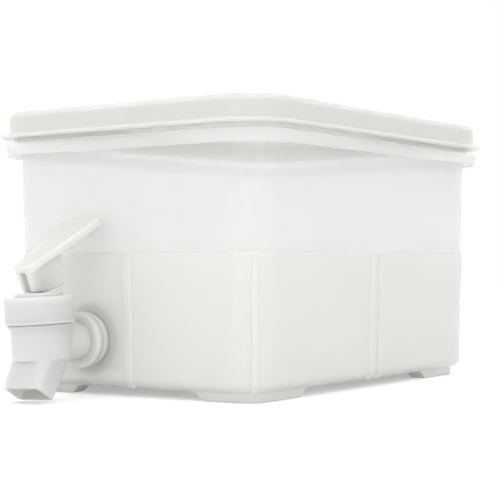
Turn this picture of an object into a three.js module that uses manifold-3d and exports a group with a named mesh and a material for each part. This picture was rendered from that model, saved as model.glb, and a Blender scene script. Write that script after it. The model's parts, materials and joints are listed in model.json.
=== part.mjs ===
// Fridge drinks dispenser: a tapered moulded tank with ribs, feet and a turned-down rim, a press-on lid
// with its seal, and a spring-closed lever tap through the front wall. Millimetres, +Z up, tap towards -Y.

import * as THREE from 'three';
import { mergeVertices } from 'three/addons/utils/BufferGeometryUtils.js';
import Module from 'manifold-3d';

const wasm = await Module();
wasm.setup();

// Tank
const tankBaseWidth = 150;         // outside, at the underside of the floor
const tankBaseDepth = 217.8;
const tankCornerRadius = 15;       // outside, at the floor
const tankDraftDeg = 1.63;         // lean of every wall, wider at the top
const tankWall = 2;
const tankFloor = 2.2;
const tankBottomRadius = 6;        // round between floor and walls
const footHeight = 4;
const rimTop = 127.3;              // height of the rim above the ground
const rimReach = 7.7;              // rim beyond the wall
const rimThickness = 2;
const rimSkirtDrop = 5.9;
const rimSkirtThickness = 1.6;
const rimEdgeRadius = 1.6;
const neckHeight = 11.4;           // upstand inside the lid, above the rim
const neckStep = 2.2;              // upstand beyond the wall
const neckWall = 1.8;
const neckBeadReach = 1.2;
const neckBeadHeight = 2;

// Ribs and feet
const ribTop = 70;
const ribWidth = 5;
const ribProud = 1.2;
const ribRoot = 1;                 // depth of a rib inside the wall
const ribEdge = 0.9;               // rounding of a rib's long edges
const ribEndTaper = 2;             // slope at a rib's top end
const sideRibSpacing = 9.2;
const footInset = 4.3;
const footWidth = 9;
const footRunAcross = 33;          // length of a foot along the front, from the tank's side
const footRunAlong = 43.5;         // length of a foot along the side, from the tank's front
const footEndSlope = 3.5;

// Lid and its seal
const lidPlate = 2;
const lidWall = 2;
const lidClearance = 0.6;          // lid to the upstand
const lidEdgeRadius = 3;
const lidLipRise = 2.4;            // lip's underside above the rim
const lidLipThickness = 1.8;
const lidLipReach = 4.1;
const lidPanelInset = 15;
const lidPanelDepth = 0.8;
const lidPanelSlope = 2;
const lidPlugDepth = 9;
const lidPlugWall = 1.6;
const lidSealThickness = 1.5;

// Tap on the tank
const tapAcross = -25;             // tap's place along X
const tapHeight = 27.9;            // height of the hole in the wall
const tapReach = 35;               // tap's upright axis out from the wall
const tapLeanDeg = 2.5;            // turn of the tap about its shank, top to the left
const seatGap = 0.3;               // gap left between pieces that bear on each other
const runningGap = 0.3;            // gap around pieces that move

// Tap body
const bodyRadius = 14;
const bodyBottom = -7.1;
const bodyCollarRadius = 13.2;
const bodyCollarTop = 19.4;
const bodyShoulderRadius = 15.6;
const bodyShoulderHeight = 1.9;
const bodyShoulderTaper = 1.3;
const bodyCollarWall = 2.2;         // between the collar's crest and the valve chamber
const chamberFloor = -5.5;
const seatHoleRadius = 4.5;
const seatThickness = 2.5;
const neckTubeRadius = 9.2;
const flangeRadius = 13.75;
const flangeThickness = 4.2;
const flangeEdgeRadius = 0.8;
const shankRadius = 8;
const shankBoreRadius = 5;
const shankLength = 21.5;          // behind the flange
const threadDepth = 0.7;
const threadPitch = 2.6;
const collarThreadDepth = 0.6;

// Spout
const spoutTopWidth = 25;
const spoutTopDepth = 21.5;
const spoutTopCorner = 6.5;
const spoutMouthWidth = 23.4;
const spoutMouthDepth = 13;
const spoutMouthCorner = 2.6;
const spoutMouthDrop = 22.2;       // centre of the mouth below the shank
const spoutMouthOut = 9.9;         // centre of the mouth in front of the upright axis
const spoutMouthTiltDeg = 33;
const spoutWall = 1.8;

// Gaskets and nut on the shank
const gasketLipRadius = 13.75;
const gasketLipThickness = 1.8;
const gasketRadius = 12.6;
const gasketThickness = 4.5;
const innerGasketRadius = 16.5;
const innerGasketThickness = 1.5;
const nutFlangeRadius = 18;
const nutFlangeThickness = 2.4;
const nutGripRadius = 13.2;
const nutGripHeight = 7;
const nutGripCount = 12;
const nutGripDepth = 0.9;

// Bonnet cap and its seal
const capRadius = 16.4;
const capBottom = 10.55;
const capHeight = 12.25;
const capPlate = 2;
const capKnurlCount = 60;
const capKnurlDepth = 0.35;
const capRimHeight = 1.3;
const capBossRadius = 11.5;
const capBossHeight = 2.5;
const capEdge = 0.6;
const capGuideRadius = 5.2;
const capGuideLength = 8.5;
const bonnetSealThickness = 0.8;
const bonnetSealWidth = 1.9;

// Stem, plug and spring
const stemRadius = 3;
const stemTongueWidth = 4.6;
const stemTongueThickness = 3.8;
const stemTongueDrop = 8.6;        // length of the flat tongue below the pin
const stemFlangeRadius = 8;
const stemFlangeBottom = 2.5;
const stemFlangeThickness = 1.5;
const stemTipRadius = 2;
const stemTipBottom = -3.4;
const ringGrooveDepth = 1;
const ringGrooveHeight = 1.4;
const ringGrooveMiddle = 17;
const ringTubeRadius = 0.48;
const plugRadius = 6.6;
const plugHeight = 4.9;
const plugBevel = 1;
const washerThickness = 0.8;
const washerWidth = 2.8;
const springWire = 1.1;
const springRadius = 6.7;          // to the middle of the wire
const springTurns = 5.5;

// Lever and pin
const leverTurnDeg = 9;            // lever turned about the stem, from straight back
const pinHeight = 30.6;
const pinRadius = 1;
const pinSocketSkin = 0.8;         // cheek left outside the pin's blind socket
const hubWidth = 8.6;
const hubSlotWidth = 4.4;
const hubSlotTop = 34.2;
const hubSlotBack = 3.3;
const hubToe = 5.8;                // hub's underside in front of the pin
const hubRake = 3.3;               // hub's front further forward under the paddle
const hubFlat = 3;                 // end of the hub's level underside behind the pin
const hubHeel = 14.9;
const hubHeelRise = 3.1;
const hubWaist = 11.4;
const hubWaistRise = 9.5;
const paddleSlopeDeg = 29.6;
const paddleHeight = 42.6;         // paddle's top above the shank at the stem
const paddleThickness = 4;
const paddleFront = 9.8;          // paddle's low end in front of the stem
const paddleBackShort = 4.8;       // paddle's high end short of the wall, measured level
const paddleLowWidth = 14;
const paddleHighWidth = 28;
const paddleLowCorner = 3.2;
const paddleHighCorner = 3.6;
const paddleEndBow = 1.2;
const paddleBorder = 2.2;
const paddleRecess = 0.9;
const paddleEdge = 0.5;

// Facets
const cornerSteps = 7;
const filletSteps = 5;
const roundSteps = 40;
const smallSteps = 20;
const coilStepsPerTurn = 10;
const wireSides = 6;
const overrun = 1;                 // cuts run this far past what they cut

const rad = THREE.MathUtils.degToRad;
const draft = Math.tan(rad(tankDraftDeg));

// Solid helpers

function signedVolume(position, index) {
  const a = new THREE.Vector3();
  const b = new THREE.Vector3();
  const c = new THREE.Vector3();
  let sum = 0;
  for (let i = 0; i < index.length; i += 3) {
    a.fromBufferAttribute(position, index[i]);
    b.fromBufferAttribute(position, index[i + 1]);
    c.fromBufferAttribute(position, index[i + 2]);
    sum += a.dot(b.cross(c));
  }
  return sum;
}

// Merge a geometry's shared points, drop its empty faces and turn its faces outwards.
function closed(geometry) {
  const bare = new THREE.BufferGeometry();
  bare.setAttribute('position', geometry.getAttribute('position').clone());
  if (geometry.index) bare.setIndex(geometry.index.clone());
  const merged = mergeVertices(bare, 1e-4);
  const source = Array.from(merged.index.array);
  const kept = [];
  for (let i = 0; i < source.length; i += 3) {
    const [a, b, c] = source.slice(i, i + 3);
    if (a !== b && b !== c && c !== a) kept.push(a, b, c);
  }
  if (signedVolume(merged.getAttribute('position'), kept) < 0) kept.reverse();
  merged.setIndex(kept);
  return merged;
}

function solid(geometry) {
  const clean = closed(geometry);
  return new wasm.Manifold(new wasm.Mesh({
    numProp: 3,
    vertProperties: new Float32Array(clean.getAttribute('position').array),
    triVerts: new Uint32Array(clean.index.array),
  }));
}

function surface(manifold) {
  const mesh = manifold.getMesh();
  const geometry = new THREE.BufferGeometry();
  geometry.setAttribute('position', new THREE.BufferAttribute(new Float32Array(mesh.vertProperties), 3));
  geometry.setIndex(new THREE.BufferAttribute(new Uint32Array(mesh.triVerts), 1));
  return geometry;
}

// Skin stacked loops of equally many points, with a flat cap on the first and the last.
function skin(loops) {
  const count = loops[0].length;
  const positions = loops.flat().flatMap((point) => point.toArray());
  const faces = [];
  for (let i = 0; i + 1 < loops.length; i += 1) {
    for (let j = 0; j < count; j += 1) {
      const next = (j + 1) % count;
      const [a, b] = [i * count + j, i * count + next];
      faces.push(a, b, b + count, a, b + count, a + count);
    }
  }
  const caps = [[loops[0], 0, true], [loops.at(-1), (loops.length - 1) * count, false]];
  for (const [loop, start, flipped] of caps) {
    const flat = loop.map((point) => new THREE.Vector2(point.x, point.y));
    for (const face of THREE.ShapeUtils.triangulateShape(flat, [])) {
      const corners = face.map((corner) => corner + start);
      faces.push(...(flipped ? corners.reverse() : corners));
    }
  }
  const geometry = new THREE.BufferGeometry();
  geometry.setAttribute('position', new THREE.Float32BufferAttribute(positions, 3));
  geometry.setIndex(faces);
  return closed(geometry);
}

// A loop round a rectangle with round corners, anticlockwise from above.
function roundedLoop(width, depth, radius, height, steps = cornerSteps) {
  const points = [];
  for (let corner = 0; corner < 4; corner += 1) {
    const sideX = corner === 0 || corner === 3 ? 1 : -1;
    const sideY = corner < 2 ? 1 : -1;
    for (let step = 0; step <= steps; step += 1) {
      const angle = (corner + step / steps) * Math.PI / 2;
      points.push(new THREE.Vector3(
        sideX * (width / 2 - radius) + radius * Math.cos(angle),
        sideY * (depth / 2 - radius) + radius * Math.sin(angle),
        height,
      ));
    }
  }
  return points;
}

// Carry a profile of [offset from the tank's base outline, height] round the tank.
function aroundTank(profile) {
  return profile.map(([offset, height]) => roundedLoop(
    tankBaseWidth + 2 * offset, tankBaseDepth + 2 * offset, tankCornerRadius + offset, height));
}

// A closed ring round the tank, from a closed profile.
function tankRing(profile) {
  const loops = aroundTank([...profile, profile[0]]);
  const count = loops[0].length;
  const faces = [];
  for (let i = 0; i + 1 < loops.length; i += 1) {
    for (let j = 0; j < count; j += 1) {
      const next = (j + 1) % count;
      const [a, b] = [i * count + j, i * count + next];
      faces.push(a, b, b + count, a, b + count, a + count);
    }
  }
  const geometry = new THREE.BufferGeometry();
  const positions = loops.flat().flatMap((point) => point.toArray());
  geometry.setAttribute('position', new THREE.Float32BufferAttribute(positions, 3));
  geometry.setIndex(faces);
  return closed(geometry);
}

// Turn a profile of [radius, height] about Z.
function turned(profile, steps = roundSteps) {
  const points = profile.map(([radius, height]) => new THREE.Vector2(radius, height));
  return closed(new THREE.LatheGeometry(points, steps).rotateX(Math.PI / 2));
}

function rod(radius, bottom, top, steps = roundSteps) {
  return turned([[0, bottom], [radius, bottom], [radius, top], [0, top]], steps);
}

function ring(inner, outer, bottom, top, steps = roundSteps) {
  return turned([[inner, bottom], [outer, bottom], [outer, top], [inner, top], [inner, bottom]], steps);
}

function block(width, depth, height, x, y, z) {
  return new THREE.BoxGeometry(width, depth, height).translate(x, y, z);
}

function arc(centreX, centreY, radius, fromDeg, toDeg, steps = filletSteps) {
  const points = [];
  for (let step = 0; step <= steps; step += 1) {
    const angle = rad(fromDeg + (toDeg - fromDeg) * step / steps);
    points.push([centreX + radius * Math.cos(angle), centreY + radius * Math.sin(angle)]);
  }
  return points;
}

// A ridged length of thread as rings, from bottom to top on the given crest radius.
function ridges(radius, depth, pitch, bottom, top) {
  const count = Math.floor((top - bottom) / pitch);
  const points = [];
  for (let turn = 0; turn < count; turn += 1) {
    const start = bottom + turn * pitch;
    points.push([radius - depth, start + pitch / 4], [radius, start + pitch / 2]);
    points.push([radius, start + pitch * 3 / 4], [radius - depth, start + pitch]);
  }
  return points;
}

function piece(name, geometry, colour, roughness) {
  const material = new THREE.MeshStandardMaterial({ color: colour, roughness, metalness: 0 });
  const mesh = new THREE.Mesh(geometry, material);
  mesh.name = name;
  return mesh;
}

function wallOffset(height) {
  return (height - footHeight) * draft;
}

// Tank

const rimOffset = wallOffset(rimTop - rimThickness);
const neckOuter = rimOffset + neckStep;
const neckInner = neckOuter - neckWall;
const beadOuter = neckOuter + neckBeadReach;
const neckTop = rimTop + neckHeight;
const floorTop = footHeight + tankFloor;

function tankShell() {
  const outer = arc(-tankBottomRadius, footHeight + tankBottomRadius, tankBottomRadius, -90, -tankDraftDeg)
    .map(([offset, height]) => [offset + wallOffset(height), height]);
  const innerRadius = tankBottomRadius - tankWall;
  const inner = arc(-tankWall - innerRadius, floorTop + innerRadius, innerRadius, -tankDraftDeg, -90)
    .map(([offset, height]) => [offset + wallOffset(height), height]);
  const rimOuter = rimOffset + rimReach;
  const rim = [
    [rimOffset, rimTop - rimThickness],
    [rimOuter - rimSkirtThickness, rimTop - rimThickness],
    [rimOuter - rimSkirtThickness, rimTop - rimSkirtDrop],
    [rimOuter, rimTop - rimSkirtDrop],
    ...arc(rimOuter - rimEdgeRadius, rimTop - rimEdgeRadius, rimEdgeRadius, 0, 90),
  ];
  const upstand = [
    [neckOuter, rimTop],
    [neckOuter, neckTop - 2 * neckBeadHeight],
    [beadOuter, neckTop - neckBeadHeight],
    [beadOuter, neckTop],
    [neckInner, neckTop],
    [neckInner, rimTop],
    [wallOffset(rimTop - rimThickness) - tankWall, rimTop - rimThickness],
  ];
  return solid(skin(aroundTank([...outer, ...rim, ...upstand, ...inner])));
}

// A rib's side outline out from the wall (X) and up (Y), then its width.
function ribSolid() {
  const shape = new THREE.Shape();
  const reach = ribProud + tankBottomRadius;
  const foot = arc(-tankBottomRadius, footHeight + tankBottomRadius, reach, -62, 0)
    .map(([offset, height]) => [offset + wallOffset(height), height]);
  const back = arc(-tankBottomRadius, footHeight + tankBottomRadius, tankBottomRadius - ribRoot, 0, -62)
    .map(([offset, height]) => [offset + wallOffset(height), height]);
  const outline = [
    ...foot,
    [wallOffset(ribTop) + ribProud, ribTop - ribEndTaper],
    [wallOffset(ribTop), ribTop],
    [wallOffset(ribTop) - ribRoot, ribTop],
    ...back,
  ];
  shape.setFromPoints(outline.map(([x, y]) => new THREE.Vector2(x, y)));
  const geometry = new THREE.ExtrudeGeometry(shape, {
    depth: ribWidth - 2 * ribEdge,
    bevelEnabled: true,
    bevelThickness: ribEdge,
    bevelSize: ribEdge / 2,
    bevelOffset: -ribEdge / 2,
    bevelSegments: 2,
    steps: 1,
  });
  return geometry.translate(0, 0, ribEdge - ribWidth / 2).rotateX(Math.PI / 2);
}

function placedRib(angle, x, y) {
  return solid(ribSolid().rotateZ(angle).translate(x, y, 0));
}

function ribs() {
  const halfWidth = tankBaseWidth / 2;
  const halfDepth = tankBaseDepth / 2;
  const places = [];
  for (const side of [-1, 1]) {
    places.push([side * Math.PI / 2, 0, side * halfDepth]);
    for (const row of [-1, 1]) {
      places.push([side > 0 ? 0 : Math.PI, side * halfWidth, row * sideRibSpacing / 2]);
      const angle = Math.atan2(row, side);
      places.push([
        angle,
        side * (halfWidth - tankCornerRadius) + tankCornerRadius * Math.cos(angle),
        row * (halfDepth - tankCornerRadius) + tankCornerRadius * Math.sin(angle),
      ]);
    }
  }
  return places.map(([angle, x, y]) => placedRib(angle, x, y));
}

// A foot is a strip that follows the corner, shorter at the ground than at the floor.
function foot(sideX, sideY) {
  const outerX = tankBaseWidth / 2 - footInset;
  const outerY = tankBaseDepth / 2 - footInset;
  const innerX = outerX - footWidth;
  const innerY = outerY - footWidth;
  const radius = tankCornerRadius - footInset;
  const cornerX = outerX - radius;
  const cornerY = outerY - radius;
  const loopAt = (height, slope) => {
    const endX = tankBaseWidth / 2 - footRunAcross - slope;
    const endY = tankBaseDepth / 2 - footRunAlong - slope;
    const outline = [
      [endX, innerY],
      [innerX, innerY],
      [innerX, endY],
      [outerX, endY],
      ...arc(cornerX, cornerY, radius, 0, 90, cornerSteps),
      [endX, outerY],
    ];
    const loop = outline.map(([x, y]) => new THREE.Vector3(sideX * x, sideY * y, height));
    return sideX === sideY ? loop : loop.reverse();
  };
  const rise = footHeight + tankFloor / 2;
  return solid(skin([loopAt(0, 0), loopAt(footHeight, footEndSlope), loopAt(rise, footEndSlope)]));
}

function buildTank(holeCutter) {
  let body = tankShell();
  for (const rib of ribs()) body = body.add(rib);
  for (const sideX of [-1, 1]) {
    for (const sideY of [-1, 1]) body = body.add(foot(sideX, sideY));
  }
  return surface(body.subtract(holeCutter));
}

// Lid

const lidInner = beadOuter + lidClearance;
const lidOuter = lidInner + lidWall;
const lidUnder = neckTop + seatGap + lidSealThickness + seatGap;
const lidTop = lidUnder + lidPlate;
const lidLipBottom = rimTop + lidLipRise;
const plugOuter = neckInner - lidClearance;
const plugInner = plugOuter - lidPlugWall;

function buildLid() {
  const lipTop = lidLipBottom + lidLipThickness;
  const tipRadius = lidLipThickness / 2;
  const tip = arc(lidOuter + lidLipReach - tipRadius, lidLipBottom + tipRadius, tipRadius, 90, -90);
  const profile = [
    [lidOuter - lidPanelInset - lidPanelSlope, lidTop - lidPanelDepth],
    [lidOuter - lidPanelInset, lidTop],
    ...arc(lidOuter - lidEdgeRadius, lidTop - lidEdgeRadius, lidEdgeRadius, 90, 0),
    [lidOuter, lipTop],
    ...tip,
    [lidInner, lidLipBottom],
    [lidInner, lidUnder],
    [plugOuter, lidUnder],
    [plugOuter, lidUnder - lidPlugDepth],
    [plugInner, lidUnder - lidPlugDepth],
    [plugInner, lidUnder],
  ];
  return skin(aroundTank(profile));
}

function buildLidSeal() {
  const inner = plugOuter + seatGap;
  const outer = lidInner - seatGap;
  const top = lidUnder - seatGap;
  const bottom = top - lidSealThickness;
  return tankRing([[inner, bottom], [outer, bottom], [outer, top], [inner, top]]);
}

// Tap body. Its own frame stands on the shank's axis: +Y back to the tank along the shank, +Z up the stem.

const flangeBack = tapReach - seatGap - gasketThickness - seatGap;
const flangeFront = flangeBack - flangeThickness;
const chamberRadius = bodyCollarRadius - bodyCollarWall;

function alongShank(geometry) {
  return geometry.rotateX(-Math.PI / 2);
}

function shankSolid() {
  const end = flangeBack + shankLength;
  const edge = flangeEdgeRadius;
  const profile = [
    [0, 0],
    [neckTubeRadius, 0],
    [neckTubeRadius, flangeFront],
    ...arc(flangeRadius - edge, flangeFront + edge, edge, -90, 0),
    [flangeRadius, flangeBack],
    [shankRadius - threadDepth, flangeBack],
    ...ridges(shankRadius, threadDepth, threadPitch, tapReach + tankWall, end - threadDepth),
    [shankRadius - threadDepth, end],
    [0, end],
  ];
  return solid(alongShank(turned(profile)));
}

function spoutLoops(inset, topAt, stretch) {
  const tilt = rad(spoutMouthTiltDeg);
  const top = roundedLoop(
    spoutTopWidth - 2 * inset, spoutTopDepth - 2 * inset, spoutTopCorner - inset, topAt);
  const along = new THREE.Vector3(0, -Math.sin(tilt), -Math.cos(tilt));
  const centre = new THREE.Vector3(0, -spoutMouthOut, -spoutMouthDrop).addScaledVector(along, stretch);
  const corner = Math.max(spoutMouthCorner - inset, spoutMouthCorner / 3);
  const mouth = roundedLoop(spoutMouthWidth - 2 * inset, spoutMouthDepth - 2 * inset, corner, 0)
    .map((point) => point.applyAxisAngle(new THREE.Vector3(1, 0, 0), -tilt).add(centre));
  return [mouth, top];
}

function buildTapBody() {
  const collar = [
    [0, bodyBottom],
    [bodyRadius, bodyBottom],
    [bodyRadius, capBottom - seatGap - bodyShoulderHeight - bodyShoulderTaper],
    [bodyShoulderRadius, capBottom - seatGap - bodyShoulderHeight],
    [bodyShoulderRadius, capBottom - seatGap],
    [bodyCollarRadius - collarThreadDepth, capBottom - seatGap],
    ...ridges(bodyCollarRadius, collarThreadDepth, threadPitch, capBottom, bodyCollarTop - overrun),
    [bodyCollarRadius - collarThreadDepth, bodyCollarTop],
    [0, bodyCollarTop],
  ];
  const spoutRoof = chamberFloor - seatThickness;
  const passage = alongShank(rod(shankBoreRadius, 0, flangeBack + shankLength + overrun));
  const mouthOverrun = overrun;
  return surface(solid(turned(collar))
    .add(shankSolid())
    .add(solid(skin(spoutLoops(0, bodyBottom + overrun, 0))))
    .subtract(solid(rod(chamberRadius, chamberFloor, bodyCollarTop + overrun)))
    .subtract(solid(passage))
    .subtract(solid(rod(seatHoleRadius, spoutRoof - overrun, chamberFloor + overrun)))
    .subtract(solid(skin(spoutLoops(spoutWall, spoutRoof, mouthOverrun)))));
}

// Gaskets and nut, along the shank

const shankHole = shankRadius + seatGap;

function buildOuterGasket() {
  const front = flangeBack + seatGap;
  const step = front + gasketLipThickness;
  const back = front + gasketThickness;
  return alongShank(turned([
    [shankHole, front], [gasketLipRadius, front], [gasketLipRadius, step],
    [gasketRadius, step], [gasketRadius, back], [shankHole, back], [shankHole, front],
  ]));
}

const innerGasketFront = tapReach + tankWall + seatGap;
const nutFront = innerGasketFront + innerGasketThickness + seatGap;

function buildInnerGasket() {
  return alongShank(ring(shankHole, innerGasketRadius, innerGasketFront, nutFront - seatGap));
}

// A scalloped outline, used for the nut's grip and the cap's knurl.
function scalloped(radius, depth, count, share) {
  const shape = new THREE.Shape();
  const points = [];
  for (let tooth = 0; tooth < count; tooth += 1) {
    const pitch = 2 * Math.PI / count;
    const start = tooth * pitch;
    for (const [part, out] of [[0, 0], [share / 2, depth], [share, depth], [(1 + share) / 2, 0]]) {
      const reach = radius - depth + out;
      const angle = start + part * pitch;
      points.push(new THREE.Vector2(reach * Math.cos(angle), reach * Math.sin(angle)));
    }
  }
  return shape.setFromPoints(points);
}

function prism(shape, bottom, height) {
  return new THREE.ExtrudeGeometry(shape, { depth: height, bevelEnabled: false }).translate(0, 0, bottom);
}

function buildShankNut() {
  const gripStart = nutFront + nutFlangeThickness / 2;
  const gripShare = 0.5;
  const grip = prism(
    scalloped(nutGripRadius, nutGripDepth, nutGripCount, gripShare), gripStart, nutGripHeight);
  const bore = rod(shankHole, nutFront - overrun, gripStart + nutGripHeight + overrun);
  const whole = solid(rod(nutFlangeRadius, nutFront, nutFront + nutFlangeThickness))
    .add(solid(grip))
    .subtract(solid(bore));
  return alongShank(surface(whole));
}

// Bonnet cap and seal, about the stem

const capTop = capBottom + capHeight;
const capUnder = capTop - capPlate;
const capInner = bodyCollarRadius + runningGap;
const bossTop = capTop + capBossHeight;
const guideBore = stemRadius + runningGap;

function buildBonnetCap() {
  const knurlShare = 0.5;
  const outline = scalloped(capRadius, capKnurlDepth, capKnurlCount, knurlShare);
  const knurl = prism(outline, capBottom + capRimHeight, capHeight - capRimHeight - capEdge);
  const core = turned([
    [0, capBottom], [capRadius, capBottom], [capRadius, capBottom + capRimHeight],
    [capRadius - capKnurlDepth - capEdge / 2, capBottom + capRimHeight],
    [capRadius - capKnurlDepth - capEdge / 2, capTop - capEdge], [capRadius - 2 * capEdge, capTop],
    [capBossRadius, capTop], [capBossRadius, bossTop - capEdge], [capBossRadius - capEdge, bossTop],
    [0, bossTop],
  ], roundSteps + smallSteps);
  const hollow = rod(capInner, capBottom - overrun, capUnder);
  const guide = rod(capGuideRadius, capUnder - capGuideLength, capUnder + overrun);
  const bore = rod(guideBore, capUnder - capGuideLength - overrun, bossTop + overrun);
  return surface(solid(core)
    .add(solid(knurl))
    .subtract(solid(hollow))
    .add(solid(guide))
    .subtract(solid(bore)));
}

function buildBonnetSeal() {
  const bottom = bodyCollarTop + seatGap;
  return ring(bodyCollarRadius - bonnetSealWidth, bodyCollarRadius, bottom, bottom + bonnetSealThickness);
}

// Stem with its flange, ring groove, flat tongue and pin hole

const stemRoundTop = pinHeight - stemTongueDrop;
const stemFlangeTop = stemFlangeBottom + stemFlangeThickness;

function acrossLever(geometry) {
  return geometry.rotateY(Math.PI / 2);
}

function buildStem() {
  const grooveBottom = ringGrooveMiddle - ringGrooveHeight / 2;
  const grooveTop = ringGrooveMiddle + ringGrooveHeight / 2;
  const shaft = turned([
    [0, stemTipBottom], [stemTipRadius, stemTipBottom], [stemTipRadius, 0],
    [stemRadius, 0], [stemRadius, stemFlangeBottom],
    [stemFlangeRadius, stemFlangeBottom], [stemFlangeRadius, stemFlangeTop],
    [stemRadius, stemFlangeTop], [stemRadius, grooveBottom],
    [stemRadius - ringGrooveDepth, grooveBottom], [stemRadius - ringGrooveDepth, grooveTop],
    [stemRadius, grooveTop], [stemRadius, stemRoundTop], [0, stemRoundTop],
  ], smallSteps);
  const shape = new THREE.Shape();
  const half = stemTongueWidth / 2;
  const outline = [
    [-half, 0], [half, 0], [half, stemTongueDrop + overrun],
    ...arc(0, stemTongueDrop + overrun, half, 0, 180, cornerSteps), [-half, stemTongueDrop + overrun],
  ];
  shape.setFromPoints(outline.map(([x, y]) => new THREE.Vector2(x, y)));
  const tongue = prism(shape, -stemTongueThickness / 2, stemTongueThickness)
    .rotateX(Math.PI / 2).rotateZ(Math.PI / 2).translate(0, 0, stemRoundTop - overrun);
  const holeReach = stemTongueThickness;
  const hole = acrossLever(rod(pinRadius + runningGap, -holeReach, holeReach, smallSteps))
    .translate(0, 0, pinHeight);
  return surface(solid(shaft).add(solid(tongue)).subtract(solid(hole)));
}

function buildStemRing() {
  const middle = stemRadius - ringGrooveDepth + runningGap / 2 + ringTubeRadius;
  return closed(new THREE.TorusGeometry(middle, ringTubeRadius, wireSides + 2, smallSteps))
    .translate(0, 0, ringGrooveMiddle);
}

function buildValvePlug() {
  const bottom = chamberFloor + seatGap;
  const top = bottom + plugHeight;
  const socket = stemTipRadius + seatGap;
  return turned([
    [0, bottom], [plugRadius - plugBevel, bottom], [plugRadius, bottom + plugBevel],
    [plugRadius, top], [socket, top], [socket, stemTipBottom - seatGap], [0, stemTipBottom - seatGap],
  ], smallSteps + smallSteps / 2);
}

const washerTop = capUnder - seatGap;
const washerBottom = washerTop - washerThickness;

function buildSpringWasher() {
  const inner = capGuideRadius + runningGap;
  return ring(inner, inner + washerWidth, washerBottom, washerTop, smallSteps + smallSteps / 2);
}

class Coil extends THREE.Curve {
  constructor(radius, turns, bottom, top) {
    super();
    Object.assign(this, { radius, turns, bottom, top });
  }

  getPoint(along, target = new THREE.Vector3()) {
    const angle = 2 * Math.PI * this.turns * along;
    const height = this.bottom + (this.top - this.bottom) * along;
    return target.set(this.radius * Math.cos(angle), this.radius * Math.sin(angle), height);
  }
}

// Least distance between the surfaces of two turns, from points along the middle of the wire.
function leastCoilGap(coil) {
  const points = coil.getPoints(springTurns * coilStepsPerTurn);
  let least = Infinity;
  for (let i = 0; i < points.length; i += 1) {
    for (let j = i + coilStepsPerTurn / 2; j < points.length; j += 1) {
      least = Math.min(least, points[i].distanceTo(points[j]) - springWire);
    }
  }
  return least;
}

function buildReturnSpring() {
  const bottom = stemFlangeTop + seatGap + springWire / 2;
  const top = washerBottom - seatGap - springWire / 2;
  const coil = new Coil(springRadius, springTurns, bottom, top);
  console.log(`return spring, least gap between turns ${leastCoilGap(coil).toFixed(2)} mm`);
  const wire = new THREE.Shape();
  const section = arc(0, 0, springWire / 2, 0, 360 - 360 / wireSides, wireSides - 1);
  wire.setFromPoints(section.map(([x, y]) => new THREE.Vector2(x, y)));
  return closed(new THREE.ExtrudeGeometry(wire, {
    steps: Math.round(springTurns * coilStepsPerTurn),
    bevelEnabled: false,
    extrudePath: coil,
  }));
}

// Lever: a dished paddle on a forked hub. Its own frame stands on the stem, +Y back along the paddle.

const hubBottom = bossTop + seatGap;
const paddleBack = tapReach - paddleBackShort;
const slope = rad(paddleSlopeDeg);
const socketReach = hubWidth / 2 - pinSocketSkin;

function paddleOutline(inset) {
  const front = -paddleFront / Math.cos(slope) + inset;
  const back = paddleBack / Math.cos(slope) - inset;
  const low = paddleLowWidth / 2 - inset;
  const high = paddleHighWidth / 2 - inset;
  const lowCorner = paddleLowCorner - inset / 2;
  const highCorner = paddleHighCorner - inset / 2;
  const lean = THREE.MathUtils.radToDeg(Math.atan2(high - low, back - front));
  const shape = new THREE.Shape();
  const right = [
    ...arc(low - lowCorner, front + lowCorner, lowCorner, -90, -lean),
    ...arc(high - highCorner, back - highCorner, highCorner, -lean, 80),
  ];
  const left = right.map(([x, y]) => [-x, y]).reverse();
  const crown = [[0, back + paddleEndBow]];
  return shape.setFromPoints([...right, ...crown, ...left].map(([x, y]) => new THREE.Vector2(x, y)));
}

function paddleSolid() {
  const plate = new THREE.ExtrudeGeometry(paddleOutline(paddleEdge), {
    depth: paddleThickness - 2 * paddleEdge,
    bevelEnabled: true,
    bevelThickness: paddleEdge,
    bevelSize: paddleEdge,
    bevelSegments: 2,
    steps: 1,
  }).translate(0, 0, paddleEdge - paddleThickness);
  const pocket = prism(paddleOutline(paddleBorder), -paddleRecess, paddleRecess + overrun);
  const place = (geometry) => geometry.rotateX(slope).translate(0, 0, paddleHeight);
  return solid(place(plate)).subtract(solid(place(pocket)));
}

function hubSolid() {
  const under = (y) => paddleHeight + y * Math.tan(slope) - paddleThickness / 2 / Math.cos(slope);
  const side = new THREE.Shape();
  const front = -hubToe - hubRake;
  const outline = [
    [-hubToe, hubBottom], [hubFlat, hubBottom], [hubHeel, hubBottom + hubHeelRise],
    [hubWaist + (hubHeel - hubWaist) / 4, hubBottom + (hubHeelRise + hubWaistRise) / 2],
    [hubWaist, hubBottom + hubWaistRise + hubHeelRise], [hubWaist, under(hubWaist)],
    [front, under(front)],
  ];
  side.setFromPoints(outline.map(([y, z]) => new THREE.Vector2(y, z)));
  return solid(prism(side, -hubWidth / 2, hubWidth).rotateX(Math.PI / 2).rotateZ(Math.PI / 2));
}

function buildLever() {
  const slotDepth = paddleFront + hubSlotBack + overrun;
  const slotHeight = hubSlotTop - hubBottom + overrun;
  const slot = block(
    hubSlotWidth, slotDepth, slotHeight, 0, hubSlotBack - slotDepth / 2, hubSlotTop - slotHeight / 2);
  const socket = acrossLever(rod(pinRadius + runningGap, -socketReach, socketReach, smallSteps))
    .translate(0, 0, pinHeight);
  return surface(paddleSolid().add(hubSolid()).subtract(solid(slot)).subtract(solid(socket)));
}

function buildLeverPin() {
  const reach = socketReach - seatGap;
  return acrossLever(rod(pinRadius, -reach, reach, smallSteps)).translate(0, 0, pinHeight);
}

// Assembly

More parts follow.
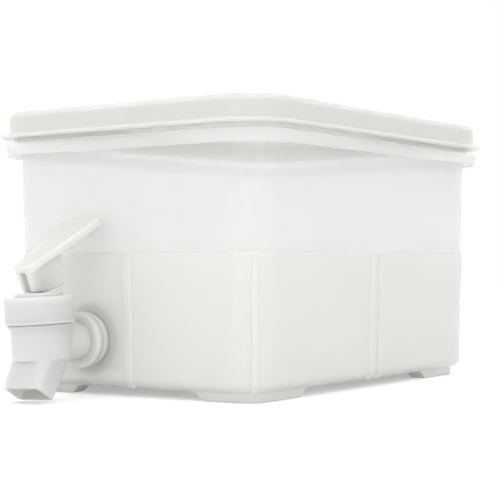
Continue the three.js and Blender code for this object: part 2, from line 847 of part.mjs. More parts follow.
const seatY = -(tankBaseDepth / 2 + wallOffset(tapHeight));
const tapFrame = new THREE.Group();
tapFrame.rotation.set(rad(tankDraftDeg), -rad(tapLeanDeg), 0);
const inward = new THREE.Vector3(0, Math.cos(rad(tankDraftDeg)), Math.sin(rad(tankDraftDeg)));
tapFrame.position.set(tapAcross, seatY, tapHeight).addScaledVector(inward, -tapReach);
tapFrame.updateMatrix();

const leverFrame = new THREE.Group();
leverFrame.rotation.z = -rad(leverTurnDeg);

const holeStart = tapReach - tankWall - overrun;
const holeEnd = tapReach + 2 * tankWall + overrun;
const holeCutter = solid(alongShank(rod(shankHole, holeStart, holeEnd)).applyMatrix4(tapFrame.matrix));

tapFrame.add(
  piece('tap_body', buildTapBody(), 0xdadad7, 0.4),
  piece('outer_gasket', buildOuterGasket(), 0xdcdcd8, 0.6),
  piece('inner_gasket', buildInnerGasket(), 0xdcdcd8, 0.6),
  piece('shank_nut', buildShankNut(), 0xd6d6d2, 0.4),
  piece('bonnet_cap', buildBonnetCap(), 0xdadad7, 0.4),
  piece('bonnet_seal', buildBonnetSeal(), 0xc9c9c4, 0.7),
  piece('spring_washer', buildSpringWasher(), 0xe2e2de, 0.5),
  piece('return_spring', buildReturnSpring(), 0xb9bbbd, 0.3),
);
leverFrame.add(
  piece('valve_stem', buildStem(), 0xe0e0dc, 0.4),
  piece('stem_ring', buildStemRing(), 0x3a3a3a, 0.7),
  piece('valve_plug', buildValvePlug(), 0xd2d2cd, 0.7),
  piece('lever', buildLever(), 0xdcdcd9, 0.4),
  piece('lever_pin', buildLeverPin(), 0xb9bbbd, 0.3),
);
tapFrame.add(leverFrame);

const dispenser = new THREE.Group();
dispenser.add(
  piece('tank', buildTank(holeCutter), 0xecede8, 0.5),
  piece('lid', buildLid(), 0xe6e7e2, 0.45),
  piece('lid_seal', buildLidSeal(), 0xdfe0db, 0.6),
  tapFrame,
);

// The origin is under the middle of the whole object's box, on the ground.
const bounds = new THREE.Box3().setFromObject(dispenser, true);
dispenser.position.y = -(bounds.min.y + bounds.max.y) / 2;

export default dispenser;
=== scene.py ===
import bpy
import bmesh
import json
import math
from mathutils import Matrix, Vector


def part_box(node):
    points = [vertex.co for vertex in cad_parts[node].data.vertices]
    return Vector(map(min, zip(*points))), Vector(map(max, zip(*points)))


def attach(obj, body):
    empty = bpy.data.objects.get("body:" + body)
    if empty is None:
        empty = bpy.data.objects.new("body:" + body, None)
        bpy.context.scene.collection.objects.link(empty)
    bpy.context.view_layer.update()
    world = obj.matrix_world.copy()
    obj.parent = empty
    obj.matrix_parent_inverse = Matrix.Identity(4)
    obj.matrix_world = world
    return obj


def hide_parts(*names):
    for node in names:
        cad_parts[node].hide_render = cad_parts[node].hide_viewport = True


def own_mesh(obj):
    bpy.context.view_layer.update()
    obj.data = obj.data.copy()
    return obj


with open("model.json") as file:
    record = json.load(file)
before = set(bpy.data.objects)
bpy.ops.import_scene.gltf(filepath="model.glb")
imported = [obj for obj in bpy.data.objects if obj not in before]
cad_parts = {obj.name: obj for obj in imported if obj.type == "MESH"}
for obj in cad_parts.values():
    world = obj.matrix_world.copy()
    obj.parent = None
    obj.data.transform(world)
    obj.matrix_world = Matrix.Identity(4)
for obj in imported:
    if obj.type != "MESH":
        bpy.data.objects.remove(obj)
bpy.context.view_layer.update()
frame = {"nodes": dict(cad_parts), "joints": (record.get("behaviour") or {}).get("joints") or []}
nodes = frame["nodes"]
joints = {joint["name"]: joint for joint in frame["joints"]}
scene = bpy.context.scene
mm = 0.001
wallDraft = 1.63  # lean of every tank wall in degrees, which the tap follows

# The tank stands about its own middle. The tap's frame is on the shank's axis, at the stem.
tapSetting = {"lean": 2.5, "leverTurn": 9, "pinHeight": 30.6}
tankLow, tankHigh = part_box("tank")
tankPlace = Matrix.Translation((0, (tankLow[1] + tankHigh[1]) / 2, 0))
stemAxis = Vector(joints["stem_lift"]["axis"])
pinPoint = Vector(joints["lever_pull"]["pos_m"])
tapPlace = (
    Matrix.Translation(pinPoint - stemAxis * tapSetting["pinHeight"] * mm)
    @ Matrix.Rotation(math.radians(wallDraft), 4, "X")
    @ Matrix.Rotation(-math.radians(tapSetting["lean"]), 4, "Y")
)
leverPlace = tapPlace @ Matrix.Rotation(-math.radians(tapSetting["leverTurn"]), 4, "Z")
alongShank = Matrix.Rotation(-math.pi / 2, 4, "X")

# The camera as fitted to the photo: its place in millimetres about the tank's middle, and its directions
cameraSetting = {
    "place": (434.23, -635.50, 65.62),
    "right": (0.823529, 0.567249, -0.005342),
    "up": (0.009224, -0.003974, 0.99995),
    "forward": (-0.5672, 0.823536, 0.008505),
    "lens": 100.49, "sensor": 36, "clipStart": 0.02,
}


def addCamera(setting):
    data = bpy.data.cameras.new("camera")
    data.lens = setting["lens"]
    data.sensor_width = setting["sensor"]
    data.clip_start = setting["clipStart"]
    camera = bpy.data.objects.new("camera", data)
    scene.collection.objects.link(camera)
    turn = Matrix((setting["right"], setting["up"], -Vector(setting["forward"]))).transposed().to_4x4()
    camera.matrix_world = Matrix.Translation(tankPlace @ (Vector(setting["place"]) * mm)) @ turn
    scene.camera = camera


addCamera(cameraSetting)
print("camera placed")

# Shape helpers. A piece is made in millimetres about its own frame, and placed when it is finished.
overrun = 1  # how far a cutter runs past what it cuts
samePoint = 0.002  # points nearer than this are one
meltSetting = {"voxel": 0.45, "pull": 0.5}


def arcPoints(x, y, radius, start, end, steps):
    angles = [math.radians(start + (end - start) * step / steps) for step in range(steps + 1)]
    return [(x + radius * math.cos(angle), y + radius * math.sin(angle)) for angle in angles]


def rectangle(halfX, halfY):
    return [(-halfX, -halfY), (halfX, -halfY), (halfX, halfY), (-halfX, halfY)]


def openEdges(bm):
    return [edge for edge in bm.edges if edge.is_boundary]


def onlyEdges(items):
    return [item for item in items if isinstance(item, bmesh.types.BMEdge)]


def vertsIn(edges):
    return {vert for edge in edges for vert in edge.verts}


def flatFace(bm, points, height=0.0):
    return bm.faces.new([bm.verts.new((x, y, height)) for x, y in points])


def roundVerts(bm, verts, radius, steps):
    bmesh.ops.bevel(bm, geom=list(verts), offset=radius, offset_type="OFFSET", segments=steps,
                    profile=0.5, affect="VERTICES", material=-1)


def roundedFace(bm, halfX, halfY, radius, steps, place):
    others = set(bm.faces)
    face = flatFace(bm, rectangle(halfX, halfY))
    roundVerts(bm, face.verts, radius, steps)
    face = (set(bm.faces) - others).pop()
    bmesh.ops.transform(bm, matrix=place, verts=face.verts)
    return face


def growEdges(bm, edges, move=(0, 0, 0)):
    grown = bmesh.ops.extrude_edge_only(bm, edges=edges)["geom"]
    newEdges = [edge for edge in onlyEdges(grown) if edge.is_boundary]
    for vert in vertsIn(newEdges):
        vert.co += Vector(move)
    return newEdges


def thicken(bm, face, move):
    grown = bmesh.ops.extrude_face_region(bm, geom=[face], use_keep_orig=True)["geom"]
    verts = [item for item in grown if isinstance(item, bmesh.types.BMVert)]
    bmesh.ops.translate(bm, vec=move, verts=verts)


# Grow a rounded outline through a profile of (reach beyond the base outline, height).
def growAround(bm, edges, setting, profile):
    coreX = setting["halfX"] - setting["corner"]
    coreY = setting["halfY"] - setting["corner"]
    for reach, height in profile:
        edges = growEdges(bm, edges)
        for vert in vertsIn(edges):
            core = Vector((max(-coreX, min(coreX, vert.co.x)), max(-coreY, min(coreY, vert.co.y))))
            outward = (vert.co.xy - core).normalized() * (setting["corner"] + reach)
            vert.co = (*(core + outward), height)
    return edges


def aroundOutline(setting, profile):
    bm = bmesh.new()
    reach, height = profile[0]
    face = roundedFace(bm, setting["halfX"] + reach, setting["halfY"] + reach, setting["corner"] + reach,
                       setting["cornerSteps"], Matrix.Translation((0, 0, height)))
    last = growAround(bm, list(face.edges), setting, profile[1:])
    bmesh.ops.edgeloop_fill(bm, edges=last)
    return bm


def turned(profile, steps, turn=Matrix()):
    bm = bmesh.new()
    chain = [bm.verts.new((radius, 0, height)) for radius, height in profile]
    edges = [bm.edges.new(pair) for pair in zip(chain, chain[1:])]
    bmesh.ops.spin(bm, geom=chain + edges, cent=(0, 0, 0), axis=(0, 0, 1), dvec=(0, 0, 0),
                   angle=2 * math.pi, steps=steps, use_merge=True, use_duplicate=False)
    bmesh.ops.transform(bm, matrix=turn, verts=bm.verts)
    return bm


def rod(radius, low, high, steps, turn):
    return turned([(0, low), (radius, low), (radius, high), (0, high)], steps, turn)


def addCopy(bm, part, place):
    bmesh.ops.transform(part, matrix=place, verts=part.verts)
    mesh = bpy.data.meshes.new("copy")
    part.to_mesh(mesh)
    part.free()
    bm.from_mesh(mesh)
    bpy.data.meshes.remove(mesh)


def asObject(name, bm):
    bmesh.ops.remove_doubles(bm, verts=bm.verts, dist=samePoint)
    bmesh.ops.recalc_face_normals(bm, faces=bm.faces)
    mesh = bpy.data.meshes.new(name)
    bm.to_mesh(mesh)
    bm.free()
    piece = bpy.data.objects.new(name, mesh)
    scene.collection.objects.link(piece)
    return piece


def applyModifiers(piece):
    shaped = piece.evaluated_get(bpy.context.evaluated_depsgraph_get())
    mesh = bpy.data.meshes.new_from_object(shaped)
    old = piece.data
    piece.modifiers.clear()
    piece.data = mesh
    bpy.data.meshes.remove(old)
    mesh.name = piece.name


def combine(piece, bm, operation):
    other = asObject("cutter", bm)
    modifier = piece.modifiers.new("combine", "BOOLEAN")
    modifier.object = other
    modifier.operation = operation
    modifier.solver = "EXACT"
    applyModifiers(piece)
    bpy.data.objects.remove(other)


# One skin over joined solids, with its edges and corners melted a little
def melt(piece, rounds):
    skin = piece.modifiers.new("one skin", "REMESH")
    skin.mode = "VOXEL"
    skin.voxel_size = meltSetting["voxel"]
    smooth = piece.modifiers.new("soft joins", "SMOOTH")
    smooth.factor = meltSetting["pull"]
    smooth.iterations = rounds
    applyModifiers(piece)


def softenEdges(piece, width, angle, segments):
    modifier = piece.modifiers.new("soft edges", "BEVEL")
    modifier.width = width
    modifier.segments = segments
    modifier.limit_method = "ANGLE"
    modifier.angle_limit = math.radians(angle)
    applyModifiers(piece)


# Place a piece, shade it smooth up to its sharp angle, and hand it over in the place of its CAD node.
def finishPiece(piece, place, body, material, replaced, sharp):
    piece.data.transform(place @ Matrix.Scale(mm, 4))
    piece.data.shade_smooth()
    piece.data.set_sharp_from_angle(angle=math.radians(sharp))
    modifier = piece.modifiers.new("even shading", "WEIGHTED_NORMAL")
    modifier.keep_sharp = True
    applyModifiers(piece)
    piece.data.materials.clear()
    piece.data.materials.append(material)
    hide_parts(replaced)
    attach(piece, body)
    print("made", piece.name, len(piece.data.polygons), "faces")


# Effects shared by the finishes
noiseMiddle = 0.5
toneSetting = {"driftDetail": 2, "grainDetail": 3}
rubSetting = {"detail": 5, "stretch": (1, 1, 0.15)}


def newGroup(name, inputs, outputs):
    group = bpy.data.node_groups.new(name, "ShaderNodeTree")
    for title, kind, value in inputs:
        socket = group.interface.new_socket(title, in_out="INPUT", socket_type=kind)
        socket.default_value = value
    for title, kind in outputs:
        group.interface.new_socket(title, in_out="OUTPUT", socket_type=kind)
    start = group.nodes.new("NodeGroupInput")
    end = group.nodes.new("NodeGroupOutput")
    return group, start.outputs, end.inputs


def addNode(tree, kind, **values):
    node = tree.nodes.new(kind)
    for name, value in values.items():
        setattr(node, name, value)
    return node


def feed(tree, socket, value):
    if isinstance(value, bpy.types.NodeSocket):
        tree.links.new(value, socket)
    else:
        socket.default_value = value


def mathNode(tree, operation, first, second=0.0, third=0.0):
    node = addNode(tree, "ShaderNodeMath", operation=operation)
    for socket, value in zip(node.inputs, (first, second, third)):
        feed(tree, socket, value)
    return node.outputs[0]


def mixColours(tree, share, first, second, blend="MIX"):
    node = addNode(tree, "ShaderNodeMix", data_type="RGBA", blend_type=blend)
    feed(tree, node.inputs["Factor"], share)
    feed(tree, node.inputs["A"], first)
    feed(tree, node.inputs["B"], second)
    return node.outputs["Result"]


def noiseNode(tree, vector, scale, detail):
    node = addNode(tree, "ShaderNodeTexNoise")
    feed(tree, node.inputs["Vector"], vector)
    feed(tree, node.inputs["Scale"], scale)
    feed(tree, node.inputs["Detail"], detail)
    return node.outputs["Fac"]


def objectPoints(tree):
    return addNode(tree, "ShaderNodeTexCoord").outputs["Object"]


# Moulded tone: slow drifts of colour in the wall, and the fine grain that the mould leaves on it
def makeMouldedTone():
    group, start, end = newGroup(
        "moulded tone",
        [("Colour", "NodeSocketColor", (0.8, 0.8, 0.8, 1)), ("Drift", "NodeSocketFloat", 0.03),
         ("Drift Scale", "NodeSocketFloat", 18), ("Grain Scale", "NodeSocketFloat", 1500)],
        [("Colour", "NodeSocketColor"), ("Height", "NodeSocketFloat")],
    )
    points = objectPoints(group)
    slow = noiseNode(group, points, start["Drift Scale"], toneSetting["driftDetail"])
    lift = mathNode(group, "MULTIPLY", mathNode(group, "SUBTRACT", slow, noiseMiddle), start["Drift"])
    shade = mathNode(group, "ADD", lift, 1.0)
    tone = addNode(group, "ShaderNodeCombineColor")
    for socket in tone.inputs:
        feed(group, socket, shade)
    group.links.new(mixColours(group, 1.0, start["Colour"], tone.outputs[0], "MULTIPLY"), end["Colour"])
    grain = noiseNode(group, points, start["Grain Scale"], toneSetting["grainDetail"])
    group.links.new(grain, end["Height"])
    return group


# Handling marks: faint upright rubs that leave the gloss uneven
def makeHandlingMarks():
    group, start, end = newGroup(
        "handling marks",
        [("Roughness", "NodeSocketFloat", 0.4), ("Amount", "NodeSocketFloat", 0.1),
         ("Scale", "NodeSocketFloat", 60)],
        [("Roughness", "NodeSocketFloat")],
    )
    stretch = addNode(group, "ShaderNodeMapping")
    stretch.inputs["Scale"].default_value = rubSetting["stretch"]
    group.links.new(objectPoints(group), stretch.inputs["Vector"])
    rubs = noiseNode(group, stretch.outputs[0], start["Scale"], rubSetting["detail"])
    spread = mathNode(group, "MULTIPLY", mathNode(group, "SUBTRACT", rubs, noiseMiddle), start["Amount"])
    group.links.new(mathNode(group, "ADD", start["Roughness"], spread), end["Roughness"])
    return group


mouldedTone = makeMouldedTone()
handlingMarks = makeHandlingMarks()


def placeGroup(tree, group, **values):
    node = addNode(tree, "ShaderNodeGroup", node_tree=group)
    for name, value in values.items():
        feed(tree, node.inputs[name.replace("_", " ")], value)
    return node.outputs


def startMaterial(name):
    material = bpy.data.materials.new(name)
    material.use_nodes = True
    shader = material.node_tree.nodes["Principled BSDF"]
    return material, material.node_tree, shader.inputs


def bumpFrom(tree, height, strength, distance, target):
    bump = addNode(tree, "ShaderNodeBump")
    bump.inputs["Strength"].default_value = strength
    bump.inputs["Distance"].default_value = distance
    tree.links.new(height, bump.inputs["Height"])
    tree.links.new(bump.outputs[0], target)


# Light that spreads inside the plastic: glow is its weight and its depth in metres.
def setGlow(sockets, glow, radius):
    sockets["Subsurface Weight"].default_value = glow[0]
    sockets["Subsurface Scale"].default_value = glow[1]
    sockets["Subsurface Radius"].default_value = radius


solidSetting = {"ior": 1.49, "grainDepth": 0.00005, "glowRadius": (1, 1, 0.9)}


def solidFinish(name, setting):
    material, tree, sockets = startMaterial(name)
    tone = placeGroup(tree, mouldedTone, Colour=(*setting["colour"], 1), Drift=setting["drift"],
                      Drift_Scale=setting["driftScale"], Grain_Scale=setting["grainScale"])
    marks = placeGroup(tree, handlingMarks, Roughness=setting["roughness"], Amount=setting["marks"])
    tree.links.new(tone["Colour"], sockets["Base Color"])
    tree.links.new(marks["Roughness"], sockets["Roughness"])
    bumpFrom(tree, tone["Height"], setting["grain"], solidSetting["grainDepth"], sockets["Normal"])
    sockets["Metallic"].default_value = setting.get("metallic", 0)
    sockets["IOR"].default_value = solidSetting["ior"]
    sockets["Transmission Weight"].default_value = setting.get("transmission", 0)
    sockets["Alpha"].default_value = setting.get("alpha", 1)
    setGlow(sockets, setting.get("glow", (0, 0)), solidSetting["glowRadius"])
    return material


tapPlastic = {"drift": 0.04, "driftScale": 30, "grainScale": 2200, "grain": 0.10, "roughness": 0.36,
              "marks": 0.12}
finishes = {
    "white tap plastic": {**tapPlastic, "colour": (0.735, 0.735, 0.715), "glow": (0.85, 0.009)},
    "white lever plastic": {**tapPlastic, "colour": (0.725, 0.725, 0.71), "glow": (0.85, 0.007)},
    "milky lid plastic": {"colour": (0.975, 0.985, 0.9), "drift": 0.03, "driftScale": 14, "grainScale": 1800,
                          "grain": 0.12, "roughness": 0.42, "marks": 0.10, "alpha": 0.62,
                          "glow": (0.9, 0.006)},
    "white silicone": {"colour": (0.76, 0.76, 0.73), "drift": 0.04, "driftScale": 40, "grainScale": 2600,
                       "grain": 0.25, "roughness": 0.58, "marks": 0.06},
    "soft seal": {"colour": (0.78, 0.78, 0.75), "drift": 0.03, "driftScale": 20, "grainScale": 2400,
                  "grain": 0.2, "roughness": 0.5, "marks": 0.06, "transmission": 0.2},
    "black ring rubber": {"colour": (0.02, 0.02, 0.021), "drift": 0.2, "driftScale": 90, "grainScale": 3000,
                          "grain": 0.2, "roughness": 0.45, "marks": 0.1},
    "washer plastic": {"colour": (0.78, 0.78, 0.75), "drift": 0.04, "driftScale": 50, "grainScale": 2500,
                       "grain": 0.1, "roughness": 0.3, "marks": 0.08},
    "spring steel": {"colour": (0.62, 0.62, 0.63), "drift": 0.12, "driftScale": 120, "grainScale": 3200,
                     "grain": 0.15, "roughness": 0.26, "marks": 0.16, "metallic": 1},
}
made = {name: solidFinish(name, setting) for name, setting in finishes.items()}

# The tank is one plastic: finely blasted below the line, and polished and nearly clear from there to the rim.
# Heights and widths are in metres, as Object coordinates are.
frostSetting = {
    "line": 0.0703, "soften": 0.0004, "lineWidth": 0.0004, "rim": 0.1205, "rimSoften": 0.002,
    "clearColour": (0.97, 0.975, 0.965, 1), "frostColour": (0.94, 0.94, 0.915, 1),
    "lineColour": (0.82, 0.83, 0.80, 1), "lineShare": 0.35, "drift": 0.03, "driftScale": 11,
    "grainScale": 1300, "grain": 0.35, "grainDepth": 0.00008, "marks": 0.08, "markScale": 40,
    "clearRoughness": 0.14, "frostRoughness": 0.5, "clearAlpha": 0.38, "frostAlpha": 0.74, "rimAlpha": 0.4,
    "transmission": 0.15, "ior": 1.35, "glow": (0.6, 0.003), "glowRadius": (1, 1, 0.95),
}
# The nut behind the tap shows through the frosted wall as a soft round painted shade: darker colour painted
# on the wall where the nut holds back the light coming through it.
nutShade = {"across": -0.025, "height": 0.0279, "front": -0.085, "radius": 0.0178, "soften": 0.0015,
            "colour": (0.66, 0.66, 0.63, 1), "share": 0.36}


def riseAt(tree, value, middle, half):
    node = addNode(tree, "ShaderNodeMapRange")
    tree.links.new(value, node.inputs["Value"])
    node.inputs["From Min"].default_value = middle - half
    node.inputs["From Max"].default_value = middle + half
    return node.outputs[0]


def squareOf(tree, value, middle):
    return mathNode(tree, "POWER", mathNode(tree, "SUBTRACT", value, middle), 2.0)


# Mask of the painted shade: a soft disc on the front wall, round the shank's axis
def nutShadeMask(tree, point, s):
    squares = mathNode(tree, "ADD", squareOf(tree, point["X"], s["across"]),
                       squareOf(tree, point["Z"], s["height"]))
    outside = riseAt(tree, mathNode(tree, "SQRT", squares), s["radius"], s["soften"])
    inside = mathNode(tree, "MULTIPLY", mathNode(tree, "SUBTRACT", 1.0, outside), s["share"])
    return mathNode(tree, "MULTIPLY", inside, mathNode(tree, "LESS_THAN", point["Y"], s["front"]))


def frostedTankFinish(s):
    material, tree, sockets = startMaterial("frosted tank plastic")
    apart = addNode(tree, "ShaderNodeSeparateXYZ")
    tree.links.new(objectPoints(tree), apart.inputs[0])
    clear = riseAt(tree, apart.outputs["Z"], s["line"], s["soften"])
    inRim = riseAt(tree, apart.outputs["Z"], s["rim"], s["rimSoften"])
    onLine = mathNode(tree, "COMPARE", apart.outputs["Z"], s["line"], s["lineWidth"])
    colour = mixColours(tree, clear, s["frostColour"], s["clearColour"])
    colour = mixColours(tree, mathNode(tree, "MULTIPLY", onLine, s["lineShare"]), colour, s["lineColour"])
    # The nut's painted shade is mixed into the wall's colour here
    colour = mixColours(tree, nutShadeMask(tree, apart.outputs, nutShade), colour, nutShade["colour"])
    tone = placeGroup(tree, mouldedTone, Colour=colour, Drift=s["drift"], Drift_Scale=s["driftScale"],
                      Grain_Scale=s["grainScale"])
    tree.links.new(tone["Colour"], sockets["Base Color"])
    span = s["clearRoughness"] - s["frostRoughness"]
    rough = mathNode(tree, "MULTIPLY_ADD", clear, span, s["frostRoughness"])
    marks = placeGroup(tree, handlingMarks, Roughness=rough, Amount=s["marks"], Scale=s["markScale"])
    tree.links.new(marks["Roughness"], sockets["Roughness"])
    fade = s["clearAlpha"] - s["frostAlpha"]
    alpha = mathNode(tree, "MULTIPLY_ADD", clear, fade, s["frostAlpha"])
    alpha = mathNode(tree, "MULTIPLY_ADD", inRim, s["rimAlpha"] - s["clearAlpha"], alpha)
    tree.links.new(alpha, sockets["Alpha"])
    grain = mathNode(tree, "MULTIPLY", tone["Height"], mathNode(tree, "SUBTRACT", 1.0, clear))
    bumpFrom(tree, grain, s["grain"], s["grainDepth"], sockets["Normal"])
    sockets["Transmission Weight"].default_value = s["transmission"]
    sockets["IOR"].default_value = s["ior"]
    setGlow(sockets, s["glow"], s["glowRadius"])
    return material


frostedTank = frostedTankFinish(frostSetting)
print("finishes made")

# Tank, with its reach beyond the floor's outline growing with height
tankSetting = {
    "halfX": 75, "halfY": 108.9, "corner": 15, "cornerSteps": 16, "draft": wallDraft, "foot": 4, "floor": 2.2,
    "wall": 2, "bottomRound": 6, "outerSteps": 8, "innerSteps": 6, "rimTop": 127.3, "rimThick": 2,
    "rimReach": 7.7, "rimDrop": 6.9, "rimSkirt": 1.6, "rimRound": 1.6, "rimSteps": 5, "neckTop": 138.7,
    "neckStep": 2.2, "neckWall": 1.8, "beadReach": 1.2, "beadHeight": 2, "edge": 0.45, "edgeSteps": 3,
    "sharp": 32,
}
ribSetting = {
    "top": 70, "width": 5, "cornerWidth": 3.4, "proud": 1.2, "root": 1.0, "edge": 0.9, "edgeSteps": 4,
    "taper": 2, "sink": 0.1, "pair": 9.2, "bend": 52, "bendSteps": 9,
}
# A foot's slope is a list of (height, how far the foot's end has come out there).
footSetting = {
    "inset": 4.3, "width": 9, "across": 33, "along": 43.5, "cornerSteps": 14,
    "slope": ((0, 0), (0.25, 0.9), (1.0, 2.1), (2.0, 3.2), (3.0, 4.4), (3.7, 5.8), (4.0, 7.5), (5.1, 7.5)),
}
tapHole = {"radius": 8.3, "start": 32, "end": 40, "steps": 48}


def wallReach(height):
    return (height - tankSetting["foot"]) * math.tan(math.radians(tankSetting["draft"]))


rimBase = wallReach(tankSetting["rimTop"] - tankSetting["rimThick"])
neckOuter = rimBase + tankSetting["neckStep"]
neckInner = neckOuter - tankSetting["neckWall"]
beadOuter = neckOuter + tankSetting["beadReach"]


def onWall(points):
    return [(x + wallReach(z), z) for x, z in points]


def tankProfile(s):
    lean = s["draft"]
    low = s["foot"] + s["bottomRound"]
    outer = onWall(arcPoints(-s["bottomRound"], low, s["bottomRound"], -90, -lean, s["outerSteps"]))
    innerRound = s["bottomRound"] - s["wall"]
    floorTop = s["foot"] + s["floor"]
    inner = onWall(arcPoints(-s["wall"] - innerRound, floorTop + innerRound, innerRound, -lean, -90,
                             s["innerSteps"]))
    reach = rimBase + s["rimReach"]
    skirtLow = s["rimTop"] - s["rimDrop"]
    under = s["rimTop"] - s["rimThick"]
    edge, steps = s["edge"], s["edgeSteps"]
    rim = [
        (rimBase, under), (reach - s["rimSkirt"], under), (reach - s["rimSkirt"], skirtLow + edge),
        *arcPoints(reach - s["rimSkirt"] + edge, skirtLow + edge, edge, 180, 270, steps),
        *arcPoints(reach - edge, skirtLow + edge, edge, -90, 0, steps),
        *arcPoints(reach - s["rimRound"], s["rimTop"] - s["rimRound"], s["rimRound"], 0, 90, s["rimSteps"]),
    ]
    neck = [
        (neckOuter, s["rimTop"]), (neckOuter, s["neckTop"] - 2 * s["beadHeight"]),
        (beadOuter, s["neckTop"] - s["beadHeight"]),
        *arcPoints(beadOuter - edge, s["neckTop"] - edge, edge, 0, 90, steps),
        *arcPoints(neckInner + edge, s["neckTop"] - edge, edge, 90, 180, steps),
        (neckInner, s["rimTop"]), (rimBase - s["wall"], under),
    ]
    return outer + rim + neck + inner


# A rib's section is turned down round the bottom of the wall and grown up to the line, where it tapers in.
def addRib(bm, place, width):
    s = ribSetting
    low = tankSetting["foot"] + tankSetting["bottomRound"]
    rib = bmesh.new()
    start = wallReach(low)
    face = flatFace(rib, [(start - s["root"], -width / 2), (start + s["proud"], -width / 2),
                          (start + s["proud"], width / 2), (start - s["root"], width / 2)], low)
    roundVerts(rib, [vert for vert in face.verts if vert.co.x > start], s["edge"], s["edgeSteps"])
    bmesh.ops.delete(rib, geom=list(rib.faces), context="FACES_ONLY")
    section = list(rib.edges)
    turnedDown = bmesh.ops.spin(
        rib, geom=list(rib.verts) + section, cent=(start - tankSetting["bottomRound"], 0, low),
        axis=(0, 1, 0), dvec=(0, 0, 0), angle=math.radians(s["bend"]), steps=s["bendSteps"],
        use_merge=False, use_duplicate=False)["geom_last"]
    bmesh.ops.edgeloop_fill(rib, edges=onlyEdges(turnedDown))
    rise = s["top"] - s["taper"] - low
    upper = growEdges(rib, section, (wallReach(rise + tankSetting["foot"]), 0, rise))
    upper = growEdges(rib, upper, (0, 0, s["taper"]))
    for vert in vertsIn(upper):
        vert.co.x = min(vert.co.x, wallReach(s["top"]) - s["sink"])
    bmesh.ops.edgeloop_fill(rib, edges=upper)
    addCopy(bm, rib, place)


def ribPlace(x, y, angle):
    return Matrix.Translation((x, y, 0)) @ Matrix.Rotation(angle, 4, "Z")


def addRibs(bm):
    halfX, halfY, corner = (tankSetting[key] for key in ("halfX", "halfY", "corner"))
    width, cornerWidth, pair = (ribSetting[key] for key in ("width", "cornerWidth", "pair"))
    for side in (-1, 1):
        addRib(bm, ribPlace(0, side * halfY, side * math.pi / 2), width)
        for row in (-1, 1):
            addRib(bm, ribPlace(side * halfX, row * pair / 2, 0 if side > 0 else math.pi), width)
            place = ribPlace(side * (halfX - corner), row * (halfY - corner), math.atan2(row, side))
            addRib(bm, place @ Matrix.Translation((corner, 0, 0)), cornerWidth)


def addStrip(bm, pairs):
    for (first, second), (third, fourth) in zip(pairs, pairs[1:]):
        bm.faces.new((first, second, fourth, third))


def slopeAt(height):
    for (low, start), (high, end) in zip(footSetting["slope"], footSetting["slope"][1:]):
        if height <= high + samePoint:
            return start + (end - start) * (height - low) / (high - low)


# A foot's section runs along the front, round the corner and along the side. Both of its ends slope in an S.
def addFoot(bm, sideX, sideY):
    s = footSetting
    outerX = tankSetting["halfX"] - s["inset"]
    outerY = tankSetting["halfY"] - s["inset"]
    radius = tankSetting["corner"] - s["inset"]
    endX = tankSetting["halfX"] - s["across"]
    endY = tankSetting["halfY"] - s["along"]
    foot = bmesh.new()
    addStrip(foot, [[foot.verts.new((endX - reach, y, height)) for y in (outerY - s["width"], outerY)]
                    for height, reach in s["slope"]])
    run = growEdges(foot, openEdges(foot))
    for vert in vertsIn(run):
        vert.co.x = outerX - radius
    bend = bmesh.ops.spin(
        foot, geom=list(vertsIn(run)) + run, cent=(outerX - radius, outerY - radius, 0), axis=(0, 0, 1),
        dvec=(0, 0, 0), angle=-math.pi / 2, steps=s["cornerSteps"], use_merge=False,
        use_duplicate=False)["geom_last"]
    last = growEdges(foot, onlyEdges(bend))
    ends = sorted(vertsIn(last), key=lambda vert: (round(vert.co.z, 2), vert.co.x))
    for vert in ends:
        vert.co.y = endY - slopeAt(vert.co.z)
    addStrip(foot, list(zip(ends[::2], ends[1::2])))
    addCopy(bm, foot, Matrix.Diagonal((sideX, sideY, 1, 1)))


def makeTank(s, hole):
    piece = asObject("tank_moulding", aroundOutline(s, tankProfile(s)))
    trim = bmesh.new()
    addRibs(trim)
    for sideX in (-1, 1):
        for sideY in (-1, 1):
            addFoot(trim, sideX, sideY)
    combine(piece, trim, "UNION")
    inTank = Matrix.Scale(1 / mm, 4) @ tankPlace.inverted() @ tapPlace @ Matrix.Scale(mm, 4)
    cutter = rod(hole["radius"], hole["start"], hole["end"], hole["steps"], inTank @ alongShank)
    combine(piece, cutter, "DIFFERENCE")
    finishPiece(piece, tankPlace, "container", frostedTank, "tank", s["sharp"])


makeTank(tankSetting, tapHole)

# Lid: skirt and lip outside, plug rib inside
lidSetting = {
    "halfX": tankSetting["halfX"], "halfY": tankSetting["halfY"], "corner": tankSetting["corner"],
    "cornerSteps": 18, "top": 142.8, "plate": 2, "wall": 2, "clearance": 0.6, "edgeRound": 3, "edgeSteps": 8,
    "lipLow": 129.7, "lipThick": 1.8, "lipReach": 4.05, "tipSteps": 6, "panelInset": 15, "panelDepth": 0.8,
    "panelSlope": 2, "plugDepth": 9, "plugWall": 1.6, "plugEdge": 0.5, "plugSteps": 3, "blend": 0.7,
    "blendSteps": 4, "blendShare": 1 / 6, "sharp": 32,
}


